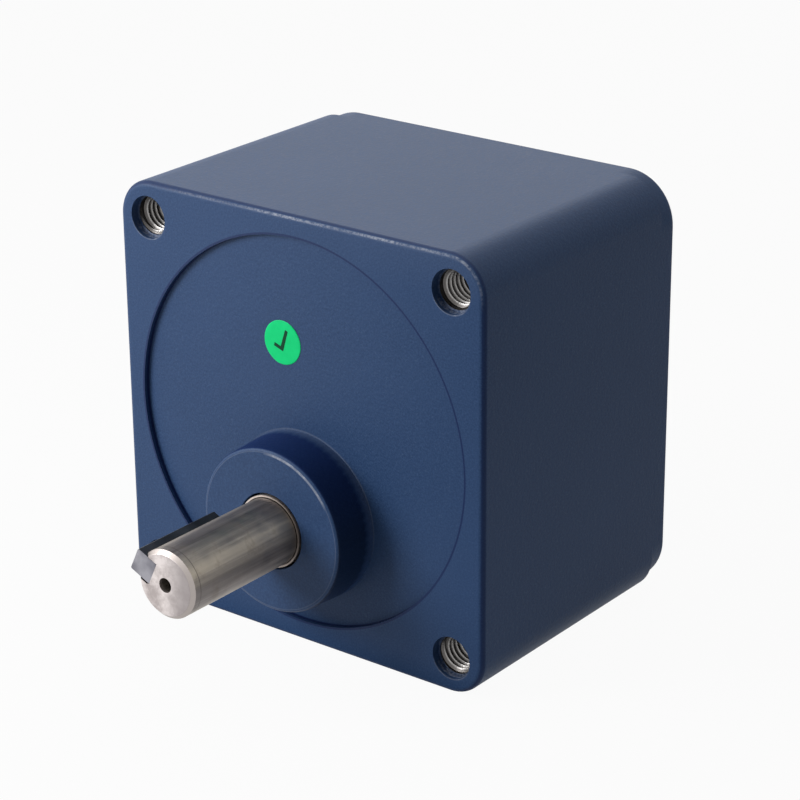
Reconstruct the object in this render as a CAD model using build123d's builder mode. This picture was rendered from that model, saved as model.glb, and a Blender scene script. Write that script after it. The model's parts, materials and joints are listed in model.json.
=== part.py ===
"""Compact brushless gear motor: a square gear case with a flat motor behind its gears.

Millimetres, +Z up. The origin is where the output shaft's axis meets the plane of the front
face. The shaft points along -Y and the block reaches back along +Y.
"""

import os
from math import acos, atan2, cos, degrees, hypot, pi, radians, sin, tan

from build123d import *

os.makedirs("parts", exist_ok=True)

# Block, round the gears and the motor
case_wall = 5.0
corner_radius = 8.0
edge_round = 1.2
cover_thickness = 5.0
cover_corner_radius = 10.5
recess_margin = 4.5
recess_depth = 1.2
shaft_drop = 17.5

# Boss round the output shaft
boss_diameter = 34.3
boss_height = 9.0
boss_draft = 3.0
boss_round = 0.8
boss_lip = 3.0
boss_gap = 0.5

# Threaded mounting holes and their painted mouths
mount_edge = 7.5
mount_thread = 8.0
mount_depth = 20.0
mouth_diameter = 8.9
mouth_depth = 1.9
drill_point = 118.0

# Output shaft and its parallel key
shaft_diameter = 14.0
shaft_reach = 30.5
shaft_chamfer = 0.8
centre_hole = 3.0
centre_hole_depth = 6.0
journal_step = 0.5
journal_proud = 0.2
collar_diameter = 19.0
gear_seat_diameter = 16.0
spacer_bore = 13.0
spacer_outside = 17.0
key_width = 5.0
key_height = 5.0
key_length = 21.5
key_seat = 3.6
key_angle = 155.0
key_gap = 0.06
key_chamfer = 0.2
gear_key_width = 4.0
gear_key_height = 4.0
gear_key_seat = 2.4

# Clearances
running_gap = 0.04
end_gap = 1.0
seat_gap = 0.05
thrust_gap = 0.4
shaft_gap = 0.3
air_gap = 0.7

# Gear train, from the output gear back to the motor pinion
pressure_angle = radians(20)
addendum = 1.0
dedendum = 1.25
tooth_thinning = 0.08
output_module = 1.0
output_teeth = 40
second_pinion_teeth = 14
second_module = 0.8
second_teeth = 42
first_pinion_teeth = 14
first_module = 0.7
first_teeth = 48
motor_pinion_teeth = 12
output_gear_width = 7.5
second_gear_width = 5.5
first_gear_width = 5.0
second_axis_angle = 116.4
web_depth = 1.4
rim_thickness = 2.6
hub_wall = 3.5
lay_journal = 6.0
lay_shoulder = 9.0
second_seat = 10.0
second_waist = 8.0
first_seat = 8.0

# Inside of the case
front_wall = 8.0
wheel_gap = 0.8
plate_seat = 0.7
plate_thickness = 7.0
rim_length = 8.0
spigot_length = 7.0
rim_wall = 3.0
pillar_inset = 3.3
pillar_radius = 4.5
pillar_angles = (20.0, 135.0, 225.0, 315.0)

# Bearings: bore, outside diameter, width and ball diameter, then the number of balls
journal_diameter = shaft_diameter + 2 * journal_step
output_front_size = (journal_diameter, 28.0, 7.0, 4.0)
output_front_balls = 9
output_rear_size = (12.0, 21.0, 5.0, 2.8)
output_rear_balls = 9
motor_front_size = (10.0, 22.0, 6.0, 3.2)
motor_front_balls = 8
motor_rear_size = (8.0, 16.0, 5.0, 2.4)
motor_rear_balls = 8
rear_bearing_inset = 1.0
race_gap = 0.05
seal_diameter = 25.0
seal_width = 4.0
seal_wall = 0.8
seal_lip_height = 1.2
ring_thickness = 1.2
ring_groove = 0.7
ring_height = 2.4
ring_opening = 50.0
bush_wall = 1.5
bush_length = 5.0
bearing_hub_wall = 3.0
rear_hub_wall = 2.5

# Motor
stack_length = 8.0
slots = 12
yoke_thickness = 5.0
tooth_root = 1.0
tooth_width = 5.0
shoe_width = 9.0
shoe_thickness = 2.2
rotor_diameter = 41.0
magnet_thickness = 2.5
magnets = 8
magnet_gap = 1.4
rotor_overhang = 1.0
rotor_hole = 4.5
insulator_thickness = 1.0
coil_thickness = 2.6
coil_inset = 1.0
coil_corner = 1.2
coil_gap = 0.1
motor_collar = 12.0
pinion_run_out = 0.6
pinion_overhang = 0.3
spring_thickness = 0.3
spring_height = 0.8

# Sensor board
board_outside = 66.0
board_bore = 25.0
board_thickness = 1.2
board_standoff = 1.6
standoff_diameter = 5.0
board_screw = 2.5
board_screw_circle = 30.0
board_screw_length = 5.0
board_screw_angles = (90.0, 210.0, 330.0)
sensor_size = (4.0, 3.0, 1.5)
sensor_circle = 38.0
sensor_angles = (10.0, 40.0, 70.0)

# Cover screws, plate screws and the cord seal in the case's rear face
screw_diameter = 4.0
cover_screw_length = 16.0
countersink_diameter = 8.0
plate_screw_length = 12.0
screw_head_diameter = 7.0
screw_head_height = 4.0
head_gap = 0.25
socket_size = 3.0
socket_depth = 1.8
small_head_diameter = 4.5
small_head_height = 1.4
gasket_inset = 2.4
gasket_width = 2.0
gasket_depth = 1.4
gasket_corner = 27.0

# Cable gland in the rear cover
gland_edge = 18.0
gland_thread = 12.0
gland_hex = 16.0
gland_hex_height = 4.0
gland_neck_length = 6.0
gland_bore = 8.0
seal_outside = 10.0
seal_bore = 6.5
seal_length = 7.0
gland_lip = 0.5
gland_lip_gap = 0.1
nut_hex = 15.0
nut_hex_height = 6.0
nut_dome_height = 3.0
nut_mouth = 8.6
nut_round = 2.0
nut_gap = 0.5

# Positions along Y, worked out from the front face backwards
boss_face = -boss_height
shaft_tip = boss_face - shaft_reach
seal_start = boss_face + boss_lip
bearing_start = seal_start + seal_width
bearing_end = bearing_start + output_front_size[2]
output_gear_start = front_wall + end_gap
output_gear_end = output_gear_start + output_gear_width
second_gear_start = output_gear_end + end_gap
second_gear_end = second_gear_start + second_gear_width
first_gear_start = second_gear_end + end_gap
first_gear_end = first_gear_start + first_gear_width
plate_front = first_gear_end + end_gap
plate_back = plate_front + plate_thickness
stator_front = plate_back + rim_length
stator_back = stator_front + stack_length
case_depth = stator_back + spigot_length
block_depth = case_depth + cover_thickness
motor_front_start = plate_back
motor_front_end = motor_front_start + motor_front_size[2]
motor_rear_start = case_depth + rear_bearing_inset - motor_rear_size[2]
motor_rear_end = motor_rear_start + motor_rear_size[2]
board_back = case_depth - board_standoff
board_front = board_back - board_thickness


def polar(centre, radius, angle):
    """The point at a radius and an angle from a centre, both in the X-Z plane."""
    return centre[0] + radius * cos(radians(angle)), centre[1] + radius * sin(radians(angle))


def third_corner(p, q, from_p, from_q):
    """The corner of a triangle on side pq, to the right of the way from p to q."""
    base = hypot(q[0] - p[0], q[1] - p[1])
    turn = acos((base**2 + from_p**2 - from_q**2) / (2 * base * from_p))
    return polar(p, from_p, degrees(atan2(q[1] - p[1], q[0] - p[0]) - turn))


def reach(axis, module, teeth):
    """How far a gear's tooth tips reach from the block's centre."""
    return hypot(axis[0] - block_centre[0], axis[1] - block_centre[1]) + module * (teeth / 2 + addendum)


# Axes in the X-Z plane
output_axis = (0.0, 0.0)
block_centre = (0.0, shaft_drop)
motor_axis = block_centre
second_axis = polar(output_axis, output_module * (output_teeth + second_pinion_teeth) / 2, second_axis_angle)
first_axis = third_corner(
    motor_axis,
    second_axis,
    first_module * (first_teeth + motor_pinion_teeth) / 2,
    second_module * (second_teeth + first_pinion_teeth) / 2,
)

# The widest gear sets the chamber, the chamber sets the motor bore, and the bore sets the block
chamber_radius = wheel_gap + max(
    reach(output_axis, output_module, output_teeth),
    reach(second_axis, second_module, second_teeth),
    reach(first_axis, first_module, first_teeth),
)
stator_diameter = 2 * (chamber_radius + plate_seat)
rim_bore = stator_diameter - 2 * rim_wall
width = stator_diameter + 2 * case_wall
recess_diameter = width - 2 * recess_margin
mount_pitch = width - 2 * mount_edge
gland_centre = (block_centre[0], block_centre[1] - width / 2 + gland_edge)
pillars = [polar((0, 0), chamber_radius - pillar_inset, angle) for angle in pillar_angles]
board_screws_at = [polar((0, 0), board_screw_circle / 2, angle) for angle in board_screw_angles]


key_middle = Location(
    (*polar((0, 0), shaft_diameter / 2 - key_seat + key_height / 2, key_angle), 0), key_angle
)
gear_key_middle = (0, gear_seat_diameter / 2 - gear_key_seat + gear_key_height / 2)


def front(depth, centre=(0.0, 0.0)):
    """A sketch plane facing forward at a depth, with its x along X and its y along Z."""
    return Plane(origin=(centre[0], depth, centre[1]), x_dir=(1, 0, 0), z_dir=(0, -1, 0))


def along(centre):
    """A sketch plane holding an axis: its x is the depth and its y the radius."""
    return Plane(origin=(centre[0], 0, centre[1]), x_dir=(0, 1, 0), z_dir=(1, 0, 0))


def axis_at(centre):
    return Axis((centre[0], 0, centre[1]), (0, 1, 0))


def corners(pitch):
    """The four corners of a square of bolts round the block's centre."""
    half = pitch / 2
    return [(x, z) for x in (-half, half) for z in (-half, half)]


def steps(start, *pairs):
    """The half outline of a stepped shaft, from pairs of where a step ends and its radius."""
    points = [(start, 0)]
    for end, radius in pairs:
        if radius != points[-1][1]:
            points.append((points[-1][0], radius))
        points.append((end, radius))
    return points + [(points[-1][0], 0)]


def disc(centre, start, end, outer, inner=0.0):
    """A plain disc or ring about an axis along Y."""
    with BuildPart() as ring:
        with BuildSketch(front(start, centre)):
            Circle(outer)
            if inner:
                Circle(inner, mode=Mode.SUBTRACT)
        extrude(amount=start - end)
    return ring.part


def gasket_outline():
    """The closed ring of the cord seal, which runs inside the cover screws."""
    middle = width - 2 * gasket_inset
    RectangleRounded(middle + gasket_width, middle + gasket_width, gasket_corner + gasket_width / 2)
    RectangleRounded(
        middle - gasket_width, middle - gasket_width, gasket_corner - gasket_width / 2, mode=Mode.SUBTRACT
    )


def countersunk_head(hole):
    """The cone of a countersunk screw's head, flush with the block's rear face."""
    with BuildPart() as head:
        with BuildSketch(along(hole)):
            with BuildLine():
                Polyline(
                    (block_depth, 0),
                    (block_depth, countersink_diameter / 2),
                    (block_depth - (countersink_diameter - screw_diameter) / 2, screw_diameter / 2),
                    (block_depth - (countersink_diameter - screw_diameter) / 2, 0),
                    close=True,
                )
            make_face()
        revolve(axis=axis_at(hole))
    return head.part


def save(piece, name):
    piece.part.label = name
    export_step(piece.part, f"parts/{name}.step")


# Gear teeth: each flank is one arc through the involute's root, middle and tip


def involute(angle):
    return tan(angle) - angle


def half_tooth(module, teeth, radius):
    """Half the angle that a tooth fills at a radius, thinned for backlash."""
    pitch_radius = module * teeth / 2
    base_radius = pitch_radius * cos(pressure_angle)
    roll = acos(base_radius / max(radius, base_radius))
    thinning = tooth_thinning / (2 * pitch_radius)
    return pi / (2 * teeth) + involute(pressure_angle) - involute(roll) - thinning


def gear_face(module, teeth, phase, centre, depth):
    """The toothed outline of a gear, with one tooth's middle at the phase angle."""
    root = module * (teeth / 2 - dedendum)
    tip = module * (teeth / 2 + addendum)
    middle = (root + tip) / 2
    pitch = 2 * pi / teeth

    def point(radius, angle):
        return radius * cos(angle), radius * sin(angle)

    with BuildSketch(front(depth, centre)) as outline:
        with BuildLine():
            for tooth in range(teeth):
                here = radians(phase) + tooth * pitch
                gap = here + pitch / 2
                at_root, at_middle, at_tip = (half_tooth(module, teeth, r) for r in (root, middle, tip))
                ThreePointArc(
                    point(root, here - at_root), point(middle, here - at_middle), point(tip, here - at_tip)
                )
                ThreePointArc(point(tip, here - at_tip), point(tip, here), point(tip, here + at_tip))
                ThreePointArc(
                    point(tip, here + at_tip), point(middle, here + at_middle), point(root, here + at_root)
                )
                ThreePointArc(
                    point(root, here + at_root), point(root, gap), point(root, here + pitch - at_root)
                )
        make_face()
    return outline.sketch


def meshed(phase, teeth, centre, other_teeth, other_centre):
    """The phase of a gear that meshes with one whose phase is known."""
    line = degrees(atan2(other_centre[1] - centre[1], other_centre[0] - centre[0]))
    share = (phase - line) * teeth / 360
    return line + 180 + (0.5 - share) * 360 / other_teeth


output_phase = 90.0
second_phase = meshed(output_phase, output_teeth, output_axis, second_pinion_teeth, second_axis)
first_phase = meshed(second_phase, second_teeth, second_axis, first_pinion_teeth, first_axis)
motor_phase = meshed(first_phase, first_teeth, first_axis, motor_pinion_teeth, motor_axis)


def web(centre, start, end, inner, outer):
    """The two ring-shaped hollows that leave a thin web between a gear's hub and rim."""
    return disc(centre, start, start + web_depth, outer, inner) + disc(centre, end - web_depth, end, outer, inner)


# Gear case: the painted block with its sunk field, boss, threaded holes and seats
with BuildPart() as gear_case:
    with BuildSketch(front(0, block_centre)):
        RectangleRounded(width, width, corner_radius)
    extrude(amount=-case_depth)
    fillet(gear_case.faces().sort_by(Axis.Y)[0].edges(), edge_round)
    with BuildSketch(front(0, block_centre)):
        Circle(recess_diameter / 2)
    extrude(amount=-recess_depth, mode=Mode.SUBTRACT)
    with BuildSketch(front(boss_face, output_axis)):
        Circle(boss_diameter / 2)
    extrude(amount=boss_face - recess_depth, taper=-boss_draft)
    fillet(gear_case.faces().sort_by(Axis.Y)[0].edges(), boss_round)
    # Gear chamber with the pillars that carry the bearing plate, and the round motor bore behind
    with BuildSketch(front(front_wall, block_centre)):
        Circle(chamber_radius)
        with Locations(*pillars):
            Circle(pillar_radius, mode=Mode.SUBTRACT)
    extrude(amount=front_wall - plate_front, mode=Mode.SUBTRACT)
    with BuildSketch(front(plate_front, block_centre)):
        Circle(stator_diameter / 2)
    extrude(amount=plate_front - case_depth, mode=Mode.SUBTRACT)
    # Bore through the boss: lip, seal seat, bearing seat and retaining ring groove
    with BuildSketch(along(output_axis)):
        with BuildLine():
            Polyline(
                *steps(
                    boss_face,
                    (seal_start, journal_diameter / 2 + boss_gap),
                    (bearing_start, seal_diameter / 2),
                    (bearing_end, output_front_size[1] / 2),
                    (bearing_end + ring_thickness, output_front_size[1] / 2 + ring_groove),
                    (front_wall, output_front_size[1] / 2),
                ),
                close=True,
            )
        make_face()
    revolve(axis=axis_at(output_axis), mode=Mode.SUBTRACT)
    # Blind seats for the front bushes of the two lay shafts
    for centre in (second_axis, first_axis):
        with BuildSketch(front(front_wall - bush_length, centre)):
            Circle(lay_journal / 2 + bush_wall)
        extrude(amount=-bush_length, mode=Mode.SUBTRACT)
    # Threaded mounting holes with their wider mouths and drilled ends
    drill_tip = mount_thread / 2 / tan(radians(drill_point / 2))
    for x, z in corners(mount_pitch):
        hole = (block_centre[0] + x, block_centre[1] + z)
        with BuildSketch(along(hole)):
            with BuildLine():
                Polyline(
                    (0, 0),
                    (0, mouth_diameter / 2),
                    (mouth_depth, mouth_diameter / 2),
                    (mouth_depth, mount_thread / 2),
                    (mouth_depth + mount_depth, mount_thread / 2),
                    (mouth_depth + mount_depth + drill_tip, 0),
                    close=True,
                )
            make_face()
        revolve(axis=axis_at(hole), mode=Mode.SUBTRACT)
    # Tapped holes for the plate screws and the cover screws
    with BuildSketch(front(plate_front, block_centre)):
        with Locations(*pillars):
            Circle(screw_diameter / 2)
    extrude(amount=plate_screw_length, mode=Mode.SUBTRACT)
    with BuildSketch(front(case_depth, block_centre)):
        with Locations(*corners(mount_pitch)):
            Circle(screw_diameter / 2)
    extrude(amount=cover_screw_length, mode=Mode.SUBTRACT)
    # Groove of the cord seal
    with BuildSketch(front(case_depth, block_centre)):
        gasket_outline()
    extrude(amount=gasket_depth, mode=Mode.SUBTRACT)
save(gear_case, "gear_case")

# Rear cover: a plate with a spigot ring that holds the stator, a bearing hub and board standoffs
with BuildPart() as rear_cover:
    with BuildSketch(front(case_depth, block_centre)):
        RectangleRounded(width, width, cover_corner_radius)
    extrude(amount=-cover_thickness)
    fillet(rear_cover.faces().sort_by(Axis.Y)[-1].edges(), edge_round)
    with BuildSketch(front(stator_back, motor_axis)):
        Circle(stator_diameter / 2 - seat_gap)
        Circle(rim_bore / 2, mode=Mode.SUBTRACT)
    extrude(amount=-spigot_length)
    with BuildSketch(front(motor_rear_start, motor_axis)):
        Circle(motor_rear_size[1] / 2 + rear_hub_wall)
    extrude(amount=motor_rear_start - case_depth)
    with BuildSketch(front(board_back, motor_axis)):
        with Locations(*board_screws_at):
            Circle(standoff_diameter / 2)
    extrude(amount=-board_standoff)
    with BuildSketch(front(motor_rear_start, motor_axis)):
        Circle(motor_rear_size[1] / 2)
    extrude(amount=motor_rear_start - motor_rear_end - spring_height, mode=Mode.SUBTRACT)
    with BuildSketch(front(board_back, motor_axis)):
        with Locations(*board_screws_at):
            Circle(board_screw / 2)
    extrude(amount=board_thickness - board_screw_length, mode=Mode.SUBTRACT)
    with BuildSketch(front(case_depth, gland_centre)):
        Circle(gland_thread / 2)
    extrude(amount=-cover_thickness, mode=Mode.SUBTRACT)
    for x, z in corners(mount_pitch):
        hole = (block_centre[0] + x, block_centre[1] + z)
        with BuildSketch(along(hole)):
            with BuildLine():
                Polyline(*steps(case_depth, (block_depth, screw_diameter / 2)), close=True)
            make_face()
        revolve(axis=axis_at(hole), mode=Mode.SUBTRACT)
        add(countersunk_head(hole), mode=Mode.SUBTRACT)
save(rear_cover, "rear_cover")

# Bearing plate: it closes the gear chamber and carries the rear bushes and two of the bearings
with BuildPart() as bearing_plate:
    with BuildSketch(front(plate_front, block_centre)):
        Circle(stator_diameter / 2 - seat_gap)
    extrude(amount=-plate_thickness)
    with BuildSketch(front(plate_back, motor_axis)):
        Circle(stator_diameter / 2 - seat_gap)
        Circle(rim_bore / 2, mode=Mode.SUBTRACT)
    extrude(amount=-rim_length)
    with BuildSketch(front(plate_back, motor_axis)):
        Circle(motor_front_size[1] / 2 + bearing_hub_wall)
        Circle(motor_front_size[1] / 2, mode=Mode.SUBTRACT)
    extrude(amount=-motor_front_size[2])
    with BuildSketch(front(plate_front, motor_axis)):
        Circle(motor_front_size[0] / 2 + shaft_gap)
    extrude(amount=-plate_thickness, mode=Mode.SUBTRACT)
    with BuildSketch(front(plate_front, output_axis)):
        Circle(output_rear_size[1] / 2)
    extrude(amount=-output_rear_size[2], mode=Mode.SUBTRACT)
    with BuildSketch(front(plate_front, output_axis)):
        Circle(output_rear_size[0] / 2 + shaft_gap)
    extrude(amount=-output_rear_size[2] - end_gap, mode=Mode.SUBTRACT)
    for centre in (second_axis, first_axis):
        with BuildSketch(front(plate_front, centre)):
            Circle(lay_journal / 2 + bush_wall)
        extrude(amount=-bush_length, mode=Mode.SUBTRACT)
    with BuildSketch(front(plate_front, block_centre)):
        with Locations(*pillars):
            Circle(screw_diameter / 2)
    extrude(amount=-plate_thickness, mode=Mode.SUBTRACT)
    with BuildSketch(front(plate_back, block_centre)):
        with Locations(*pillars):
            Circle(screw_head_diameter / 2 + head_gap)
    extrude(amount=screw_head_height, mode=Mode.SUBTRACT)
save(bearing_plate, "bearing_plate")

# Socket head screws that hold the bearing plate to the pillars
with BuildPart() as plate_screws:
    with BuildSketch(front(plate_back, block_centre)):
        with Locations(*pillars):
            Circle(screw_head_diameter / 2)
    extrude(amount=screw_head_height)
    with BuildSketch(front(plate_back - screw_head_height, block_centre)):
        with Locations(*pillars):
            Circle(screw_diameter / 2)
    extrude(amount=plate_screw_length)
    with BuildSketch(front(plate_back, block_centre)):
        with Locations(*pillars):
            RegularPolygon(socket_size / 2, 6, major_radius=False)
    extrude(amount=socket_depth, mode=Mode.SUBTRACT)
save(plate_screws, "plate_screws")

# Countersunk screws of the rear cover
with BuildPart() as cover_screws:
    for x, z in corners(mount_pitch):
        hole = (block_centre[0] + x, block_centre[1] + z)
        with BuildSketch(front(block_depth, hole)):
            Circle(screw_diameter / 2)
        extrude(amount=cover_screw_length)
        add(countersunk_head(hole))
        with BuildSketch(front(block_depth, hole)):
            RegularPolygon(socket_size / 2, 6, major_radius=False)
        extrude(amount=socket_depth, mode=Mode.SUBTRACT)
save(cover_screws, "cover_screws")

# Cord seal between the case and the rear cover
with BuildPart() as cover_gasket:
    with BuildSketch(front(case_depth, block_centre)):
        gasket_outline()
    extrude(amount=gasket_depth)
save(cover_gasket, "cover_gasket")

# Oil seal: a ring with a lip that points at the bearing
with BuildPart() as oil_seal:
    with BuildSketch(along(output_axis)):
        with BuildLine():
            lip = journal_diameter / 2 + running_gap
            Polyline(
                (seal_start, lip + seal_lip_height),
                (seal_start, seal_diameter / 2),
                (bearing_start, seal_diameter / 2),
                (bearing_start, seal_diameter / 2 - seal_wall),
                (seal_start + seal_wall, seal_diameter / 2 - seal_wall),
                (seal_start + seal_wall, lip + seal_lip_height),
                (bearing_start - seal_wall, lip + seal_lip_height),
                (bearing_start - seal_wall, lip),
                (bearing_start - 2 * seal_wall, lip),
                close=True,
            )
        make_face()
    revolve(axis=axis_at(output_axis))
save(oil_seal, "oil_seal")

# Snap ring behind the output shaft's front bearing
with BuildPart() as retaining_ring:
    with BuildSketch(front(bearing_end, output_axis)):
        Circle(output_front_size[1] / 2 + ring_groove)
        Circle(output_front_size[1] / 2 + ring_groove - ring_height, mode=Mode.SUBTRACT)
        with BuildLine():
            Polyline(
                (0, 0),
                polar((0, 0), output_front_size[1], -90 - ring_opening / 2),
                polar((0, 0), output_front_size[1], -90 + ring_opening / 2),
                close=True,
            )
        make_face(mode=Mode.SUBTRACT)
    extrude(amount=-ring_thickness)
save(retaining_ring, "retaining_ring")


# Ball bearings: an outer ring, an inner ring and the balls between them


def race(centre, start, size, inner, outer):
    """One ring of a ball bearing, with the groove that the balls run in."""
    bore, outside, ring_width, ball = size
    with BuildPart() as ring:
        with BuildSketch(front(start, centre)):
            Circle(outer)
            Circle(inner, mode=Mode.SUBTRACT)
        extrude(amount=-ring_width)
        with BuildSketch(along(centre)):
            with Locations((start + ring_width / 2, (bore + outside) / 4)):
                Circle(ball / 2 + race_gap)
        revolve(axis=axis_at(centre), mode=Mode.SUBTRACT)
    return ring


def ball_bearing(name, centre, start, size, count):
    bore, outside, ring_width, ball = size
    middle = (bore + outside) / 4
    save(race(centre, start, size, middle + ball / 4, outside / 2), f"{name}_outer")
    save(race(centre, start, size, bore / 2, middle - ball / 4), f"{name}_inner")
    with BuildPart() as balls:
        with Locations(front(start + ring_width / 2, centre)):
            with PolarLocations(middle, count):
                Sphere(ball / 2)
    save(balls, f"{name}_balls")


ball_bearing("output_front_bearing", output_axis, bearing_start, output_front_size, output_front_balls)
ball_bearing("output_rear_bearing", output_axis, plate_front, output_rear_size, output_rear_balls)
ball_bearing("motor_front_bearing", motor_axis, motor_front_start, motor_front_size, motor_front_balls)
ball_bearing("motor_rear_bearing", motor_axis, motor_rear_start, motor_rear_size, motor_rear_balls)

# Sintered bushes of the two lay shafts, in the case's front wall and in the plate
for shaft_name, centre in (("first", first_axis), ("second", second_axis)):
    for place, start in (("front", front_wall - bush_length), ("rear", plate_front)):
        with BuildPart() as bush:
            with BuildSketch(front(start, centre)):
                Circle(lay_journal / 2 + bush_wall)
                Circle(lay_journal / 2 + running_gap, mode=Mode.SUBTRACT)
            extrude(amount=-bush_length)
        save(bush, f"{shaft_name}_shaft_{place}_bush")

# Output shaft with its journals, shoulder collar, keyways and centre hole
with BuildPart() as output_shaft:
    with BuildSketch(along(output_axis)):
        with BuildLine():
            Polyline(
                (shaft_tip, 0),
                (shaft_tip, shaft_diameter / 2 - shaft_chamfer),
                (shaft_tip + shaft_chamfer, shaft_diameter / 2),
                (boss_face - journal_proud, shaft_diameter / 2),
                (boss_face - journal_proud, journal_diameter / 2),
                (bearing_end, journal_diameter / 2),
                (bearing_end, collar_diameter / 2),
                (output_gear_start, collar_diameter / 2),
                (output_gear_start, gear_seat_diameter / 2),
                (output_gear_end, gear_seat_diameter / 2),
                (output_gear_end, spacer_bore / 2),
                (plate_front, spacer_bore / 2),
                (plate_front, output_rear_size[0] / 2),
                (plate_front + output_rear_size[2], output_rear_size[0] / 2),
                (plate_front + output_rear_size[2], 0),
                close=True,
            )
        make_face()
    revolve(axis=axis_at(output_axis))
    with BuildSketch(front(shaft_tip, output_axis)):
        Circle(centre_hole / 2)
    extrude(amount=-centre_hole_depth, mode=Mode.SUBTRACT)
    with BuildSketch(front(shaft_tip, output_axis)):
        with Locations(key_middle):
            Rectangle(key_height, key_width + 2 * key_gap)
    extrude(amount=-key_length, mode=Mode.SUBTRACT)
    with BuildSketch(front(output_gear_start, output_axis)):
        with Locations(gear_key_middle):
            Rectangle(gear_key_width, gear_key_height)
    extrude(amount=-output_gear_width, mode=Mode.SUBTRACT)
save(output_shaft, "output_shaft")

# Parallel key in the shaft end, and the key under the output gear
with BuildPart() as output_key:
    with BuildSketch(front(shaft_tip, output_axis)):
        with Locations(key_middle):
            Rectangle(key_height, key_width)
    extrude(amount=-key_length)
    chamfer(output_key.edges().filter_by(Axis.Y), key_chamfer)
save(output_key, "output_key")

with BuildPart() as output_gear_key:
    with BuildSketch(front(output_gear_start, output_axis)):
        with Locations(gear_key_middle):
            Rectangle(gear_key_width, gear_key_height)
    extrude(amount=-output_gear_width)
save(output_gear_key, "output_gear_key")

# Output gear on its keyed seat, and the spacer sleeve behind it
with BuildPart() as output_gear:
    extrude(
        gear_face(output_module, output_teeth, output_phase, output_axis, output_gear_start),
        amount=output_gear_width,
        dir=(0, 1, 0),
    )
    output_root = output_module * (output_teeth / 2 - dedendum)
    output_hub = gear_seat_diameter / 2 + hub_wall
    add(
        web(output_axis, output_gear_start, output_gear_end, output_hub, output_root - rim_thickness),
        mode=Mode.SUBTRACT,
    )
    with BuildSketch(front(output_gear_start, output_axis)):
        Circle(gear_seat_diameter / 2)
        with Locations(gear_key_middle):
            Rectangle(gear_key_width, gear_key_height)
    extrude(amount=-output_gear_width, mode=Mode.SUBTRACT)
save(output_gear, "output_gear")

with BuildPart() as output_spacer:
    with BuildSketch(front(output_gear_end, output_axis)):
        Circle(spacer_outside / 2)
        Circle(spacer_bore / 2, mode=Mode.SUBTRACT)
    extrude(amount=output_gear_end - plate_front)
save(output_spacer, "output_spacer")

# Second shaft: its pinion drives the output gear
lay_front = front_wall - bush_length + thrust_gap
lay_rear = plate_front + bush_length - thrust_gap
with BuildPart() as second_shaft:
    with BuildSketch(along(second_axis)):
        with BuildLine():
            Polyline(
                *steps(
                    lay_front,
                    (front_wall + thrust_gap, lay_journal / 2),
                    (output_gear_start, lay_shoulder / 2),
                    (second_gear_end, second_seat / 2),
                    (plate_front - thrust_gap, second_waist / 2),
                    (lay_rear, lay_journal / 2),
                ),
                close=True,
            )
        make_face()
    revolve(axis=axis_at(second_axis))
    extrude(
        gear_face(output_module, second_pinion_teeth, second_phase, second_axis, output_gear_start),
        amount=output_gear_width,
        dir=(0, 1, 0),
    )
save(second_shaft, "second_shaft")

with BuildPart() as second_gear:
    extrude(
        gear_face(second_module, second_teeth, second_phase, second_axis, second_gear_start),
        amount=second_gear_width,
        dir=(0, 1, 0),
    )
    second_root = second_module * (second_teeth / 2 - dedendum)
    second_hub = second_seat / 2 + hub_wall
    add(
        web(second_axis, second_gear_start, second_gear_end, second_hub, second_root - rim_thickness),
        mode=Mode.SUBTRACT,
    )
    with BuildSketch(front(second_gear_start, second_axis)):
        Circle(second_seat / 2)
    extrude(amount=-second_gear_width, mode=Mode.SUBTRACT)
save(second_gear, "second_gear")

# First shaft: its pinion drives the second gear
with BuildPart() as first_shaft:
    with BuildSketch(along(first_axis)):
        with BuildLine():
            Polyline(
                *steps(
                    lay_front,
                    (front_wall + thrust_gap, lay_journal / 2),
                    (output_gear_start, lay_shoulder / 2),
                    (first_gear_end + thrust_gap, first_seat / 2),
                    (lay_rear, lay_journal / 2),
                ),
                close=True,
            )
        make_face()
    revolve(axis=axis_at(first_axis))
    extrude(
        gear_face(second_module, first_pinion_teeth, first_phase, first_axis, second_gear_start),
        amount=second_gear_width,
        dir=(0, 1, 0),
    )
save(first_shaft, "first_shaft")

with BuildPart() as first_gear:
    extrude(
        gear_face(first_module, first_teeth, first_phase, first_axis, first_gear_start),
        amount=first_gear_width,
        dir=(0, 1, 0),
    )
    first_root = first_module * (first_teeth / 2 - dedendum)
    first_hub = first_seat / 2 + hub_wall
    add(
        web(first_axis, first_gear_start, first_gear_end, first_hub, first_root - rim_thickness),
        mode=Mode.SUBTRACT,
    )
    with BuildSketch(front(first_gear_start, first_axis)):
        Circle(first_seat / 2)
    extrude(amount=-first_gear_width, mode=Mode.SUBTRACT)
save(first_gear, "first_gear")

# Motor shaft, with the motor pinion cut in its front end
rotor_front = stator_front - rotor_overhang / 2
rotor_back = stator_back + rotor_overhang
with BuildPart() as motor_shaft:
    with BuildSketch(along(motor_axis)):
        with BuildLine():
            Polyline(
                *steps(
                    first_gear_end + pinion_run_out,
                    (motor_front_end, motor_front_size[0] / 2),
                    (rotor_front, motor_collar / 2),
                    (motor_rear_start - thrust_gap, motor_front_size[0] / 2),
                    (motor_rear_end, motor_rear_size[0] / 2),
                ),
                close=True,
            )
        make_face()
    revolve(axis=axis_at(motor_axis))
    extrude(
        gear_face(
            first_module, motor_pinion_teeth, motor_phase, motor_axis, first_gear_start - pinion_overhang
        ),
        amount=pinion_overhang + first_gear_width + pinion_run_out,
        dir=(0, 1, 0),
    )
save(motor_shaft, "motor_shaft")

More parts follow.
